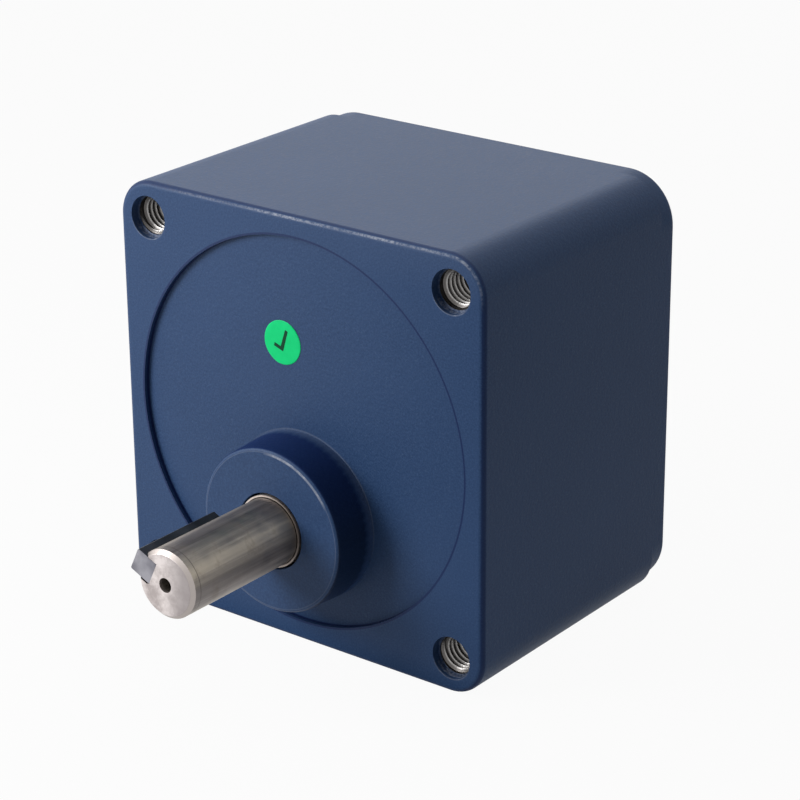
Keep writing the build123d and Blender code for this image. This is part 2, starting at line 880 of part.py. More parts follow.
# Rotor: a steel core on the motor shaft with a ring of surface magnets
core_radius = rotor_diameter / 2 - magnet_thickness
with BuildPart() as rotor_core:
    with BuildSketch(front(rotor_front, motor_axis)):
        Circle(core_radius)
        Circle(motor_front_size[0] / 2, mode=Mode.SUBTRACT)
        with PolarLocations((core_radius + motor_front_size[0] / 2) / 2, magnets):
            Circle(rotor_hole / 2, mode=Mode.SUBTRACT)
    extrude(amount=rotor_front - rotor_back)
save(rotor_core, "rotor_core")

with BuildPart() as rotor_magnets:
    with BuildSketch(front(rotor_front, motor_axis)):
        Circle(rotor_diameter / 2)
        Circle(core_radius, mode=Mode.SUBTRACT)
        with PolarLocations(rotor_diameter / 2, magnets):
            Rectangle(3 * magnet_thickness, magnet_gap, mode=Mode.SUBTRACT)
    extrude(amount=rotor_front - rotor_back)
save(rotor_magnets, "rotor_magnets")


# Stator: a slotted core, an insulator on each end, and a coil round each tooth
bore_radius = rotor_diameter / 2 + air_gap
yoke_radius = stator_diameter / 2 - yoke_thickness


def stator_teeth(outer, inner):
    """The ring of teeth that points inward from the yoke, as part of a sketch."""
    with PolarLocations((outer + inner) / 2, slots):
        Rectangle(outer - inner, tooth_width)


with BuildPart() as stator_core:
    with BuildSketch(front(stator_front, motor_axis)):
        Circle(stator_diameter / 2)
        Circle(yoke_radius, mode=Mode.SUBTRACT)
        stator_teeth(yoke_radius + tooth_root, bore_radius + shoe_thickness / 2)
        with PolarLocations(bore_radius + shoe_thickness / 2, slots):
            Rectangle(shoe_thickness, shoe_width)
        Circle(bore_radius, mode=Mode.SUBTRACT)
    extrude(amount=-stack_length)
save(stator_core, "stator_core")

for place, start in (("front", stator_front - insulator_thickness), ("rear", stator_back)):
    with BuildPart() as insulator:
        with BuildSketch(front(start, motor_axis)):
            Circle(rim_bore / 2 - coil_gap)
            Circle(yoke_radius, mode=Mode.SUBTRACT)
            stator_teeth(yoke_radius + tooth_root, bore_radius + shoe_thickness)
        extrude(amount=-insulator_thickness)
    save(insulator, f"stator_insulator_{place}")

coil_start = bore_radius + shoe_thickness + coil_gap
coil_middle = (stator_front + stator_back) / 2
coil_height = stack_length + 2 * insulator_thickness
with BuildPart() as stator_coils:
    for slot in range(slots):
        turn = 360 * slot / slots
        x, z = polar(motor_axis, coil_start, turn)
        outward = Plane(
            origin=(x, coil_middle, z), x_dir=(0, 1, 0), z_dir=(cos(radians(turn)), 0, sin(radians(turn)))
        )
        with BuildSketch(outward):
            RectangleRounded(
                coil_height + 2 * coil_thickness, tooth_width + 2 * coil_gap + 2 * coil_thickness, coil_corner
            )
            Rectangle(coil_height, tooth_width + 2 * coil_gap, mode=Mode.SUBTRACT)
        extrude(amount=yoke_radius - coil_inset - coil_start)
save(stator_coils, "stator_coils")

# Sensor board behind the rotor, its sensors and its screws
with BuildPart() as sensor_board:
    with BuildSketch(front(board_front, motor_axis)):
        Circle(board_outside / 2)
        Circle(board_bore / 2, mode=Mode.SUBTRACT)
        with Locations(*board_screws_at):
            Circle(board_screw / 2, mode=Mode.SUBTRACT)
    extrude(amount=-board_thickness)
save(sensor_board, "sensor_board")

with BuildPart() as hall_sensors:
    with BuildSketch(front(board_front, motor_axis)):
        for angle in sensor_angles:
            with Locations(Location((*polar((0, 0), sensor_circle / 2, angle), 0), angle)):
                Rectangle(sensor_size[1], sensor_size[0])
    extrude(amount=sensor_size[2])
save(hall_sensors, "hall_sensors")

with BuildPart() as board_screws:
    with BuildSketch(front(board_front, motor_axis)):
        with Locations(*board_screws_at):
            Circle(small_head_diameter / 2)
    extrude(amount=small_head_height)
    with BuildSketch(front(board_front, motor_axis)):
        with Locations(*board_screws_at):
            Circle(board_screw / 2)
    extrude(amount=-board_screw_length)
save(board_screws, "board_screws")

# Disc spring that presses on the outer ring of the motor's rear bearing
with BuildPart() as preload_spring:
    with BuildSketch(along(motor_axis)):
        with BuildLine():
            Polyline(
                (motor_rear_end, motor_rear_size[1] / 2 - seat_gap),
                (motor_rear_end + spring_thickness, motor_rear_size[1] / 2 - seat_gap),
                (motor_rear_end + spring_height, motor_rear_size[0] / 2 + ring_thickness),
                (motor_rear_end + spring_height - spring_thickness, motor_rear_size[0] / 2 + ring_thickness),
                close=True,
            )
        make_face()
    revolve(axis=axis_at(motor_axis))
save(preload_spring, "preload_spring")

# Cable gland for the motor leads: body, rubber seal and dome nut
neck_end = block_depth + gland_hex_height + gland_neck_length
seal_front = neck_end - seal_length
with BuildPart() as cable_gland_body:
    with BuildSketch(front(case_depth, gland_centre)):
        Circle(gland_thread / 2)
    extrude(amount=case_depth - neck_end)
    with BuildSketch(front(block_depth, gland_centre)):
        RegularPolygon(gland_hex / 2, 6, major_radius=False)
    extrude(amount=-gland_hex_height)
    with BuildSketch(front(case_depth, gland_centre)):
        Circle(gland_bore / 2)
    extrude(amount=case_depth - neck_end, mode=Mode.SUBTRACT)
    with BuildSketch(front(seal_front, gland_centre)):
        Circle(seal_outside / 2)
    extrude(amount=-seal_length, mode=Mode.SUBTRACT)
save(cable_gland_body, "cable_gland_body")

# A short lip at each end of the seal centres it in the body's bore and in the nut's mouth
lip_front = seal_front - gland_lip
with BuildPart() as cable_gland_seal:
    with BuildSketch(front(seal_front, gland_centre)):
        Circle(seal_outside / 2)
    extrude(amount=-seal_length)
    with BuildSketch(front(lip_front, gland_centre)):
        Circle(gland_bore / 2 - gland_lip_gap)
    extrude(amount=-seal_length - 2 * gland_lip)
    with BuildSketch(front(lip_front, gland_centre)):
        Circle(seal_bore / 2)
    extrude(amount=-seal_length - 2 * gland_lip, mode=Mode.SUBTRACT)
save(cable_gland_seal, "cable_gland_seal")

nut_start = neck_end - gland_neck_length + nut_gap
with BuildPart() as cable_gland_nut:
    with BuildSketch(front(nut_start, gland_centre)):
        RegularPolygon(nut_hex / 2, 6, major_radius=False)
    extrude(amount=-nut_hex_height)
    with BuildSketch(front(nut_start + nut_hex_height, gland_centre)):
        Circle(nut_hex / 2)
    extrude(amount=-nut_dome_height)
    fillet(cable_gland_nut.faces().sort_by(Axis.Y)[-1].edges(), nut_round)
    with BuildSketch(front(nut_start, gland_centre)):
        Circle(gland_thread / 2)
    extrude(amount=nut_start - neck_end, mode=Mode.SUBTRACT)
    with BuildSketch(front(nut_start, gland_centre)):
        Circle(nut_mouth / 2)
    extrude(amount=-nut_hex_height - nut_dome_height, mode=Mode.SUBTRACT)
save(cable_gland_nut, "cable_gland_nut")
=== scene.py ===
"""Looks of the compact brushless gear motor: camera, light, finishes, threads and inspection label."""

import json
from math import cos, radians, sin, tau

import bmesh
import bpy
from mathutils import Matrix, Vector


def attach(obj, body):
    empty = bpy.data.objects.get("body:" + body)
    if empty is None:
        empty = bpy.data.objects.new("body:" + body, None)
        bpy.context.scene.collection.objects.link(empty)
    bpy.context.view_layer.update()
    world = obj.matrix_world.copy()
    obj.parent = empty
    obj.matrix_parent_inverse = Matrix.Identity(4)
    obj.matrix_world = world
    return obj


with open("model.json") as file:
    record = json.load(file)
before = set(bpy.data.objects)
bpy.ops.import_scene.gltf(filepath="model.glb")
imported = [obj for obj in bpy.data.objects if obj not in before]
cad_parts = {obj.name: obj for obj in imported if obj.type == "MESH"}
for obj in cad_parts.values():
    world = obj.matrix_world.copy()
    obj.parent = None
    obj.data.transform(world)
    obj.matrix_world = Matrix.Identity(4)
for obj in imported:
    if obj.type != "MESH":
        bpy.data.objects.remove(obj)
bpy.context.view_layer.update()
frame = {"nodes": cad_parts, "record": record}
nodes = frame["nodes"]

MM = 0.001

# Sizes and places on the part, in millimetres in the part's own frame
BLOCK_CENTRE_Z = 17.5
HALF_WIDTH = 45.0
CORNER_RADIUS = 8.0
EDGE_WIDTH = 0.9
FLOOR_LEVEL = BLOCK_CENTRE_Z - HALF_WIDTH
RECESS_RADIUS = 40.5
RECESS_DEPTH = 1.2
BOSS_HEIGHT = 9.0
BOSS_TOP_RADIUS = 16.6
BOSS_FOOT_RADIUS = 17.15
MOUNT_HALF_PITCH = 37.5
MOUTH_RADIUS = 4.45
MOUTH_DEPTH = 1.9
THREAD_DEPTH = 20.0
PAST_HOLES = 30.0
THREAD_RADIUS = 4.0
THREAD_CORE = 3.32
THREAD_PITCH = 1.25
SHAFT_RADIUS = 7.0
SHAFT_TIP = -39.5
SHAFT_CHAMFER = 0.8
KEY_ANGLE = 155.0
LABEL_CENTRE = (-4.2, 35.5)
LABEL_RADIUS = 4.55
LABEL_THICKNESS = 0.12
LABEL_TURN = radians(27)

# Camera, from the vanishing lines and corners of the photograph
CAMERA_TARGET = Vector((-2.349, 36.0, 12.703)) * MM
CAMERA_DISTANCE = 554.74 * MM
CAMERA_AZIMUTH = radians(37.734)
CAMERA_ELEVATION = radians(21.766)
CAMERA_ROLL = radians(-0.441)
CAMERA_LENS = 120.515

# Studio: strength of the world's light, how white the floor looks, and the grey that takes the shadow
WHITE = (1.0, 1.0, 1.0, 1.0)
WORLD_LIGHT = 0.12
FLOOR_WHITE = 0.95
FLOOR_GREY = (0.55, 0.55, 0.55, 1.0)


def srgb(red, green, blue):
    """A colour written in 0-255 screen values, as the linear colour that a shader takes."""
    def linear(value):
        value /= 255
        return value / 12.92 if value <= 0.04045 else ((value + 0.055) / 1.055) ** 2.4

    return linear(red), linear(green), linear(blue), 1.0


def place_camera():
    """A camera where the photograph's was, rolled a little."""
    back = Vector(
        (
            sin(CAMERA_AZIMUTH) * cos(CAMERA_ELEVATION),
            -cos(CAMERA_AZIMUTH) * cos(CAMERA_ELEVATION),
            sin(CAMERA_ELEVATION),
        )
    )
    right = (-back).cross(Vector((0, 0, 1))).normalized()
    up = right.cross(-back)
    level = Matrix((right, up, back)).transposed().to_4x4()
    data = bpy.data.cameras.new("camera")
    data.sensor_width = 36
    data.lens = CAMERA_LENS
    data.clip_start = 0.01
    data.clip_end = 20
    camera = bpy.data.objects.new("camera", data)
    bpy.context.scene.collection.objects.link(camera)
    turn = Matrix.Rotation(CAMERA_ROLL, 4, "Z")
    camera.matrix_world = Matrix.Translation(CAMERA_TARGET + back * CAMERA_DISTANCE) @ level @ turn
    bpy.context.scene.camera = camera


def area_light(name, place, target, size, power):
    """A soft box at a place, turned to a target; all in metres and watts."""
    data = bpy.data.lights.new(name, "AREA")
    data.shape = "RECTANGLE"
    data.size, data.size_y = size
    data.energy = power
    light = bpy.data.objects.new(name, data)
    bpy.context.scene.collection.objects.link(light)
    light.location = place
    light.rotation_euler = (Vector(target) - Vector(place)).to_track_quat("-Z", "Y").to_euler()


class Nodes:
    """Short calls for making the nodes of one material or world."""

    def __init__(self, tree):
        self.tree = tree
        tree.nodes.clear()

    def add(self, kind, inputs=None, **settings):
        node = self.tree.nodes.new(kind)
        for name, value in settings.items():
            setattr(node, name, value)
        for name, value in (inputs or {}).items():
            self.feed(node.inputs[name], value)
        return node

    def feed(self, socket, value):
        """Link another node's output to a socket, or set a constant on it."""
        if isinstance(value, bpy.types.NodeSocket):
            self.tree.links.new(value, socket)
        else:
            socket.default_value = value

    def math(self, operation, first, second=0.0):
        return self.add("ShaderNodeMath", {0: first, 1: second}, operation=operation).outputs[0]

    def times(self, first, *others):
        for other in others:
            first = self.math("MULTIPLY", first, other)
        return first

    def highest(self, first, *others):
        for other in others:
            first = self.math("MAXIMUM", first, other)
        return first

    def position(self):
        """Object coordinates, which stay with the piece and are the part's own frame, in metres."""
        return self.add("ShaderNodeTexCoord").outputs["Object"]

    def millimetres(self, position):
        """The three coordinates of a position, in millimetres."""
        parts = self.add("ShaderNodeSeparateXYZ", {0: position})
        return [self.times(parts.outputs[axis], 1 / MM) for axis in range(3)]

    def join(self, x, y, z):
        return self.add("ShaderNodeCombineXYZ", {0: x, 1: y, 2: z}).outputs[0]

    def length(self, first, second):
        """The length of a step along two axes at right angles."""
        squares = [self.times(side, side) for side in (first, second)]
        return self.math("SQRT", self.math("ADD", squares[0], squares[1]))

    def along(self, x, z, angle):
        """How far a point lies in a direction of the X-Z plane, given in degrees from X towards Z."""
        return self.math("ADD", self.times(x, cos(radians(angle))), self.times(z, sin(radians(angle))))

    def noise(self, vector, scale, detail=2.0, roughness=0.5):
        inputs = {"Vector": vector, "Scale": scale, "Detail": detail, "Roughness": roughness}
        return self.add("ShaderNodeTexNoise", inputs).outputs[0]

    def remap(self, value, low, high, to_low=0.0, to_high=1.0):
        inputs = {0: value, 1: low, 2: high, 3: to_low, 4: to_high}
        return self.add("ShaderNodeMapRange", inputs).outputs[0]

    def below(self, value, limit):
        return self.math("LESS_THAN", value, limit)

    def between(self, value, low, high, soft):
        """1 where a value lies between two limits, falling off softly on both sides."""
        rise = self.remap(value, low - soft, low + soft)
        fall = self.remap(value, high + soft, high - soft)
        return self.times(rise, fall)

    def mix(self, factor, first, second):
        node = self.add("ShaderNodeMix", {0: factor}, data_type="RGBA")
        self.feed(node.inputs[6], first)
        self.feed(node.inputs[7], second)
        return node.outputs[2]

    def bump(self, height, strength, depth, normal=None):
        """A bumped normal, its depth in millimetres, on top of another one if given."""
        inputs = {"Height": height, "Strength": strength, "Distance": depth * MM}
        if normal is not None:
            inputs["Normal"] = normal
        return self.add("ShaderNodeBump", inputs).outputs[0]

    def seen_directly(self):
        """1 for what the camera sees, reflects or sees through glass; 0 for rays that light the object."""
        rays = self.add("ShaderNodeLightPath").outputs
        return self.highest(rays["Is Camera Ray"], rays["Is Glossy Ray"], rays["Is Transmission Ray"])

    def finish(self, shader):
        self.add("ShaderNodeOutputMaterial", {"Surface": shader})

    def surface(self, colour, roughness, normal, metallic=0.0, sheen=0.5):
        """The material's principled shader."""
        inputs = {
            "Base Color": colour,
            "Roughness": roughness,
            "Normal": normal,
            "Metallic": metallic,
            "Specular IOR Level": sheen,
        }
        self.finish(self.add("ShaderNodeBsdfPrincipled", inputs).outputs[0])


def new_material(name):
    material = bpy.data.materials.new(name)
    material.use_nodes = True
    return material, Nodes(material.node_tree)


def from_hole(n, x, above):
    """The distance from the axis of the nearest mounting hole."""
    hole_x = n.math("SUBTRACT", n.math("ABSOLUTE", x), MOUNT_HALF_PITCH)
    hole_z = n.math("SUBTRACT", n.math("ABSOLUTE", above), MOUNT_HALF_PITCH)
    return n.length(hole_x, hole_z)


class CasePlace:
    """A point on the case: its coordinates and distances in millimetres, and masks that coats share."""

    def __init__(self, n, at):
        self.x, self.y, self.z = n.millimetres(at)
        self.above = n.math("SUBTRACT", self.z, BLOCK_CENTRE_Z)
        across = n.math("ABSOLUTE", self.x)
        up = n.math("ABSOLUTE", self.above)
        straight = HALF_WIDTH - CORNER_RADIUS
        corner_x = n.highest(n.math("SUBTRACT", across, straight), 0.0)
        corner_z = n.highest(n.math("SUBTRACT", up, straight), 0.0)
        from_outline = n.math("SUBTRACT", CORNER_RADIUS, n.length(corner_x, corner_z))
        self.on_edge = n.below(from_outline, EDGE_WIDTH)
        self.boss_radius = n.length(self.x, self.z)
        self.recess_radius = n.length(self.x, self.above)
        self.hole_radius = from_hole(n, self.x, self.above)
        self.above_hole = n.times(n.math("SUBTRACT", up, MOUNT_HALF_PITCH), n.math("SIGN", self.above))
        near_top = n.remap(self.above, HALF_WIDTH - 10.0, HALF_WIDTH - 4.0)
        self.along_top = n.times(near_top, n.remap(self.x, -34.0, -4.0))
        self.boss_side = n.times(
            n.between(self.boss_radius, BOSS_TOP_RADIUS - 0.12, BOSS_FOOT_RADIUS + 0.45, 0.06),
            n.between(self.y, 0.32 - BOSS_HEIGHT, RECESS_DEPTH - 0.3, 0.06),
        )


def add_painted_shade(n, place, paint):
    """Painted shade on the boss's side, at the recess's wall and rim and along the front edge's rounding.
    """
    recess_wall = n.times(
        n.between(place.recess_radius, RECESS_RADIUS - 0.2, RECESS_RADIUS + 0.1, 0.08),
        n.between(place.y, RECESS_DEPTH - 0.6, RECESS_DEPTH + 0.3, 0.15),
    )
    recess_rim = n.times(
        n.between(place.recess_radius, RECESS_RADIUS, RECESS_RADIUS + 0.42, 0.06), n.below(place.y, 0.4)
    )
    elsewhere = n.math("SUBTRACT", 1.0, place.along_top)
    edge_band = n.highest(
        n.between(place.y, 0.42, 0.95, 0.1), n.times(elsewhere, n.between(place.y, 0.14, 0.6, 0.06))
    )
    front_edge = n.times(place.on_edge, edge_band)
    # Painted shade: dark on the recess's wall and rim, the front edge's rounding and the boss's side
    shade_mask = n.highest(
        recess_wall, n.times(front_edge, 0.7), n.times(recess_rim, 0.85), n.times(place.boss_side, 0.8)
    )
    # Painted shade: the boss's side is painted darker low down and bluer towards its top
    boss_shade_colour = n.mix(n.remap(place.z, 2.0, 15.0), srgb(3, 11, 36), srgb(5, 22, 74))
    shade_colour = n.mix(place.boss_side, srgb(8, 28, 74), boss_shade_colour)
    paint = n.mix(n.times(shade_mask, 0.88), paint, shade_colour)

    # Painted shade: the lower right corner is painted dark all along the block
    low_corner_shade = n.times(
        n.remap(place.above, CORNER_RADIUS - HALF_WIDTH, 0.5 - HALF_WIDTH, 0.0, 0.75),
        n.remap(place.x, HALF_WIDTH - 15.0, HALF_WIDTH - 3.0),
        n.remap(place.y, 1.0, 1.4),
    )
    return n.mix(low_corner_shade, paint, srgb(16, 26, 34))


def wear_and_highlights(n, at, place, paint):
    """Pale marks: rubbed paint with a painted highlight on the upper front edge, rubbed paint on the boss's
    rim, a faint line at its foot, and a painted highlight and pale speckles at the holes.
    """
    broken = n.remap(n.noise(at, 620.0, 4.0, 0.75), 0.5, 0.62)
    patches = n.remap(n.noise(at, 60.0, 2.0), 0.42, 0.6, 0.35, 1.0)
    fine = n.remap(n.noise(at, 1500.0, 3.0, 0.6), 0.38, 0.6, 0.1, 1.0)
    # Along the upper front edge: rubbed nicks and a painted highlight on the edge's rounding
    edge = n.times(place.on_edge, n.between(place.y, 0.06, 0.3, 0.05), place.along_top, 0.75, fine, patches)

    # On the boss the lines are strongest at the upper right
    rub_angle = 62.0
    upper_right = n.math("DIVIDE", n.along(place.x, place.z, rub_angle), place.boss_radius)
    wide_rim = n.between(place.boss_radius, BOSS_TOP_RADIUS - 0.52, BOSS_TOP_RADIUS - 0.02, 0.07)
    thin_rim = n.between(place.boss_radius, BOSS_TOP_RADIUS - 0.22, BOSS_TOP_RADIUS - 0.08, 0.05)
    rubbed = n.times(n.remap(upper_right, 0.84, 0.92), n.remap(broken, 0.0, 1.0, 0.55, 1.0))
    rim = n.highest(n.times(wide_rim, rubbed), n.times(thin_rim, 0.16))
    rim = n.times(rim, n.remap(place.y, 0.4 - BOSS_HEIGHT, 0.3 - BOSS_HEIGHT))
    # A faint pale line round the boss's foot, stronger towards the upper right
    foot = n.times(
        n.between(place.boss_radius, BOSS_FOOT_RADIUS + 0.55, BOSS_FOOT_RADIUS + 0.85, 0.12),
        n.below(place.y, RECESS_DEPTH + 0.3),
        n.remap(upper_right, 0.1, 0.8, 0.0, 0.2),
    )

    # At the holes: a painted highlight on the lower half of each mouth's rim, and pale speckles on the
    # lower half of its wall and on the ledge at its end
    mouth = n.times(
        n.between(place.hole_radius, MOUTH_RADIUS - 0.05, MOUTH_RADIUS + 0.17, 0.08),
        n.below(place.y, 0.25),
        n.remap(broken, 0.0, 1.0, 0.25, 0.6),
        n.remap(place.above_hole, -1.0, -3.5),
    )
    wall = n.times(n.between(place.y, 0.8, MOUTH_DEPTH + 0.1, 0.15), n.remap(place.above_hole, -1.6, -3.4))
    ledge = n.times(n.between(place.y, MOUTH_DEPTH - 0.1, MOUTH_DEPTH + 0.1, 0.05), 0.4)
    ledge = n.times(
        n.highest(wall, ledge),
        n.remap(n.noise(at, 1900.0, 2.0), 0.42, 0.62, 0.1, 0.6),
        n.below(place.hole_radius, MOUTH_RADIUS + 0.05),
    )
    # Rubbed paint and painted highlights, mixed into one pale colour
    wear_and_highlight = n.highest(edge, rim, mouth, foot, ledge)
    return n.mix(n.times(wear_and_highlight, 0.8), paint, srgb(176, 182, 196))


def painted_case():
    """Dark blue textured powder coat: painted shade in places, rubbed on edges with painted highlights,
    threads bare.
    """
    material, n = new_material("painted_case")
    at = n.position()
    place = CasePlace(n, at)
    clouds = n.noise(at, 38.0, 3.0)
    grain = n.noise(at, 2600.0, 2.0, 0.6)
    speckle = n.noise(at, 2100.0, 2.0, 0.6)
    paint = n.mix(n.remap(clouds, 0.35, 0.65), srgb(37, 62, 99), srgb(41, 66, 104))
    paint = n.mix(n.remap(grain, 0.38, 0.68), paint, srgb(50, 76, 115))
    paint = n.mix(n.remap(speckle, 0.61, 0.75), paint, srgb(58, 82, 118))
    paint = add_painted_shade(n, place, paint)
    paint = wear_and_highlights(n, at, place, paint)

    # Threads are cut after painting; the bare metal between the thread's crests is painted dark as painted
    # shade
    in_thread = n.between(place.y, MOUTH_DEPTH, PAST_HOLES, 0.02)
    bare = n.times(n.below(place.hole_radius, THREAD_RADIUS + 0.05), in_thread)
    colour = n.mix(bare, paint, srgb(92, 90, 88))
    roughness = n.remap(bare, 0.0, 1.0, n.remap(grain, 0.3, 0.7, 0.46, 0.58), 0.35)

    # The coat is duller towards the right, on the boss's side and at the block's foot
    below_top = n.remap(place.above, HALF_WIDTH - 1.0, HALF_WIDTH - 9.0)
    right = n.times(n.remap(place.x, -5.0, HALF_WIDTH), below_top)
    low = n.remap(place.above, 9.0 - HALF_WIDTH, 1.0 - HALF_WIDTH, 0.0, 0.8)
    dull = n.highest(n.times(right, 0.5), n.times(place.boss_side, 0.75), low)
    sheen = n.remap(dull, 0.0, 1.0, 0.27, 0.02)
    normal = n.bump(n.noise(at, 420.0, 2.0, 0.5), 0.08, 0.35)
    normal = n.bump(n.noise(at, 1500.0, 2.0, 0.55), 0.5, 0.12, normal)
    n.surface(colour, roughness, normal, bare, sheen)
    return material


def thread_steel():
    """Cut threads: painted highlight on the crests and painted shade in the grooves."""
    material, n = new_material("thread_metal")
    at = n.position()
    x, _, z = n.millimetres(at)
    hole_radius = from_hole(n, x, n.math("SUBTRACT", z, BLOCK_CENTRE_Z))
    grain = n.noise(at, 1400.0, 3.0, 0.6)
    # Painted shade: the thread darkens from the crest to the root
    crest = n.remap(hole_radius, THREAD_CORE + 0.3, THREAD_CORE)
    bright = n.mix(n.remap(grain, 0.35, 0.65), srgb(160, 158, 156), srgb(200, 198, 196))
    base = n.mix(crest, srgb(96, 93, 91), bright)
    n.surface(base, n.remap(grain, 0.3, 0.7, 0.26, 0.42), n.bump(grain, 0.2, 0.03), 0.8)
    return material


def shaft_steel():
    """Dull ground steel with long stains, a faint ring near the tip, a painted highlight band and painted
    shade; chamfer and end are brighter.
    """
    material, n = new_material("shaft_steel")
    at = n.position()
    x, y, z = n.millimetres(at)
    radius = n.length(x, z)
    streaks = n.noise(n.join(n.times(x, 0.62), n.times(y, 0.012), n.times(z, 0.62)), 1.0, 5.0, 0.7)
    stains = n.noise(at, 260.0, 5.0, 0.65)
    turning = n.noise(n.join(n.times(radius, 5.2), n.times(y, 5.2), 0.0), 1.0, 2.0)

    # A painted highlight band runs along the shaft, with duller steel on both sides of it and a painted
    # reflection lightening the side turned away
    highlight_angle = 35.0
    turned = n.math("DIVIDE", n.along(x, z, highlight_angle), radius)
    painted_highlight = n.highest(n.remap(turned, 0.84, 0.99), n.remap(turned, 0.45, 0.1, 0.0, 0.6))
    streak = n.remap(streaks, 0.34, 0.66)
    dull = n.mix(streak, srgb(100, 95, 93), srgb(138, 132, 129))
    side = n.mix(painted_highlight, dull, n.mix(streak, srgb(142, 134, 124), srgb(186, 177, 163)))
    # Painted highlight: a thin bright streak in the middle of the band
    side = n.mix(n.remap(turned, 0.975, 0.998, 0.0, 0.6), side, srgb(208, 196, 176))
    side = n.mix(n.remap(stains, 0.54, 0.7, 0.0, 0.35), side, srgb(112, 103, 94))
    face = n.mix(n.remap(stains, 0.38, 0.62), srgb(176, 167, 165), srgb(222, 214, 212))
    # Painted shade: the end face is painted darker towards +X
    face = n.mix(n.remap(x, -0.5, 4.5, 0.0, 0.85), face, srgb(150, 143, 143))

    # Painted shade of a narrow gap beside the key at the shaft's end
    gap_shade = n.times(
        n.between(n.along(x, z, KEY_ANGLE), 3.7, 6.4, 0.1),
        n.between(n.along(x, z, KEY_ANGLE + 90.0), 2.4, 2.9, 0.06),
    )
    chamfer = SHAFT_TIP + SHAFT_CHAMFER
    at_end = n.remap(y, chamfer + 0.05, chamfer - 0.05)
    base = n.mix(at_end, side, srgb(172, 164, 160))
    base = n.mix(n.remap(y, SHAFT_TIP + 0.1, SHAFT_TIP + 0.05), base, face)
    base = n.mix(n.times(gap_shade, at_end), base, srgb(20, 18, 18))
    ring = n.between(y, SHAFT_TIP + 2.15, SHAFT_TIP + 2.35, 0.06)
    base = n.mix(n.times(ring, 0.6), base, srgb(80, 74, 70))

    # The shoulder in the boss: a turned rim with a painted highlight, lighter on the left, round a step in
    # painted shade
    shoulder = -BOSS_HEIGHT - 0.3
    on_shoulder = n.math("GREATER_THAN", y, shoulder)
    rim = n.times(on_shoulder, n.remap(radius, SHAFT_RADIUS + 0.12, SHAFT_RADIUS + 0.22))
    step = n.math("SUBTRACT", n.times(on_shoulder, n.remap(radius, SHAFT_RADIUS - 0.1, SHAFT_RADIUS)), rim)
    # Painted shade: the shaft is painted darker towards the boss
    base = n.mix(n.remap(y, -15.0, shoulder, 0.0, 0.55), base, srgb(92, 86, 82))
    base = n.mix(step, base, srgb(30, 27, 27))
    lit = n.math("SUBTRACT", n.remap(x, 7.0, -2.0), n.remap(stains, 0.4, 0.7, 0.0, 0.4))
    base = n.mix(rim, base, n.mix(lit, srgb(138, 129, 124), srgb(222, 211, 203)))

    gloss = n.remap(n.math("ADD", streaks, stains), 0.7, 1.3, 0.4, 0.6)
    gloss = n.remap(at_end, 0.0, 1.0, gloss, 0.5)
    normal = n.bump(turning, 0.15, 0.015)
    normal = n.bump(stains, 0.2, 0.12, normal)
    n.surface(base, gloss, normal, 1.0)
    return material


def key_steel():
    """Blackened key steel, bare where the bar was cut off."""
    material, n = new_material("key_steel")
    at = n.position()
    _, y, _ = n.millimetres(at)
    grain = n.noise(at, 900.0, 4.0, 0.65)
    clouds = n.noise(at, 150.0, 3.0)
    black = n.mix(n.remap(clouds, 0.35, 0.65), srgb(34, 37, 44), srgb(55, 58, 65))
    bare = n.mix(n.remap(clouds, 0.38, 0.62), srgb(108, 107, 116), srgb(160, 159, 166))
    base = n.mix(n.remap(y, SHAFT_TIP + 0.08, SHAFT_TIP + 0.04), black, bare)
    n.surface(base, n.remap(grain, 0.3, 0.7, 0.42, 0.58), n.bump(grain, 0.3, 0.04), 0.8)
    return material


def turned_metal(name, light, dark):
    """Steel ground about the output shaft's axis: fine rings, soft stains and uneven gloss."""
    material, n = new_material(name)
    at = n.position()
    x, y, z = n.millimetres(at)
    rings = n.noise(n.join(n.times(n.length(x, z), 9.0), n.times(y, 9.0), 0.0), 1.0, 3.0, 0.6)
    clouds = n.noise(at, 160.0, 4.0, 0.6)
    both = n.math("ADD", rings, clouds)
    base = n.mix(n.remap(both, 0.72, 1.28), dark, light)
    n.surface(base, n.remap(both, 0.7, 1.3, 0.22, 0.4), n.bump(rings, 0.25, 0.02), 1.0)
    return material


def grained(name, light, dark, scale, roughness, metallic=0.0, bump=0.15, depth=0.1, sheen=0.5):
    """A finish with soft clouds, a fine grain and a light bump."""
    material, n = new_material(name)
    at = n.position()
    clouds = n.noise(at, scale / 12, 3.0)
    grain = n.noise(at, scale, 3.0, 0.6)
    tone = n.math("ADD", n.times(clouds, 0.6), n.times(grain, 0.4))
    base = n.mix(n.remap(tone, 0.35, 0.65), dark, light)
    gloss = n.remap(grain, 0.3, 0.7, roughness[0], roughness[1])
    n.surface(base, gloss, n.bump(grain, bump, depth), metallic, sheen)
    return material


def layered(name, light, dark, pitch, roughness):
    """Metal sheets or turns of wire, stacked along Y at a pitch in millimetres."""
    material, n = new_material(name)
    at = n.position()
    _, y, _ = n.millimetres(at)
    sheets = n.remap(n.math("SINE", n.times(y, tau / pitch)), -1.0, 1.0)
    clouds = n.noise(at, 400.0, 3.0)
    base = n.mix(n.remap(n.math("ADD", sheets, clouds), 0.1, 1.2), dark, light)
    gloss = n.remap(clouds, 0.3, 0.7, roughness[0], roughness[1])
    n.surface(base, gloss, n.bump(sheets, 0.4, 0.06), 1.0)
    return material


def add_object(name, form, material):
    """A new object from a bmesh, with one material."""
    mesh = bpy.data.meshes.new(name)
    form.to_mesh(mesh)
    form.free()
    mesh.materials.append(material)
    thing = bpy.data.objects.new(name, mesh)
    bpy.context.scene.collection.objects.link(thing)
    return thing


def add_piece(name, form, material, smooth=True):
    """A new piece from a bmesh, riding on the housing."""
    bmesh.ops.recalc_face_normals(form, faces=form.faces)
    for face in form.faces:
        face.smooth = smooth
    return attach(add_object(name, form, material), "housing")


